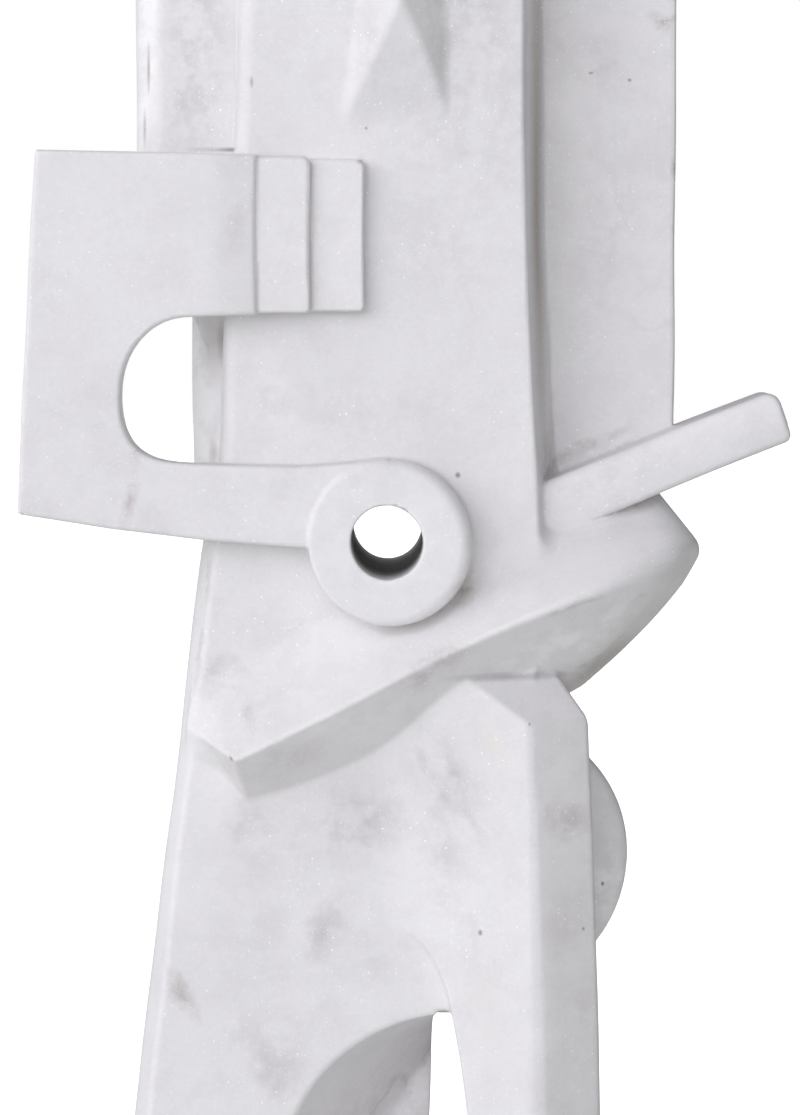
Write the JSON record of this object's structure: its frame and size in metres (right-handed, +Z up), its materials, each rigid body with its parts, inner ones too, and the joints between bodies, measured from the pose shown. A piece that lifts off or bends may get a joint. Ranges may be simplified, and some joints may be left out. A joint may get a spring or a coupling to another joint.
{
  "type": "abstract figure sculpture",
  "caption": "Cubist standing figure in white marble: upright slabs, a bent arm plate, a pierced ring, a crossing hip wedge and parted legs, carved with a low base.",
  "frame": {"origin": "middle of the base's underside", "axes": "+Z up along the figure, front faces -Y, +X to the right as seen from the front"},
  "size_m": [0.1931, 0.124, 0.658],
  "materials": {
    "marble": "honed white marble with faint grey clouds and fine bright crystals"
  },
  "bodies": {
    "root": {"figure": "marble"}
  },
  "joints": []
}
